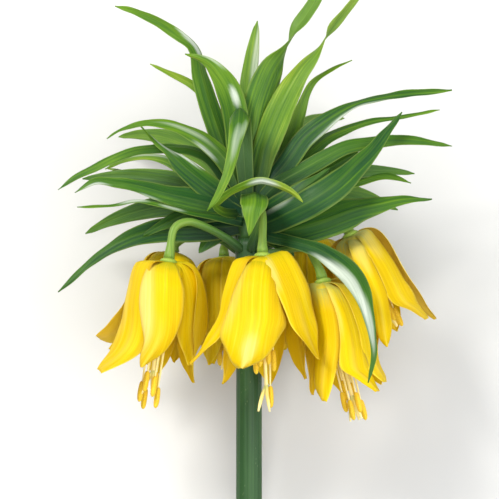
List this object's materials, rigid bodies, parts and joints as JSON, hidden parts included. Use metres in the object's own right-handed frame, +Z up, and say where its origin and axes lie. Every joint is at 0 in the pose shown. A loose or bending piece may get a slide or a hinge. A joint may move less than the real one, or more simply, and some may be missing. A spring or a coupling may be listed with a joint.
{
  "type": "cut crown imperial flowering stem",
  "caption": "Cut flowering stem of a yellow crown imperial, lying down: a bare stalk, a ring of hanging bells and a tuft of long leaves over them.",
  "frame": {"origin": "middle of the footprint, on the surface that the stem lies on", "axes": "+Y from the cut end towards the tuft of leaves, +Z up from the surface, the flower's front faces up"},
  "size_m": [0.2048, 0.3944, 0.1192],
  "materials": {
    "stem": "satin",
    "leaf": "satin",
    "tepal": "satin",
    "stamen": "matte"
  },
  "bodies": {
    "root": {"stem": "stem", "crown_leaves": "leaf", "bloom1_tepals": "tepal", "bloom1_stamens": "stamen", "bloom2_tepals": "tepal", "bloom2_stamens": "stamen", "bloom3_tepals": "tepal", "bloom3_stamens": "stamen", "bloom4_tepals": "tepal", "bloom4_stamens": "stamen", "bloom5_tepals": "tepal", "bloom5_stamens": "stamen", "bloom6_tepals": "tepal", "bloom6_stamens": "stamen", "bloom7_tepals": "tepal", "bloom7_stamens": "stamen"}
  },
  "joints": []
}
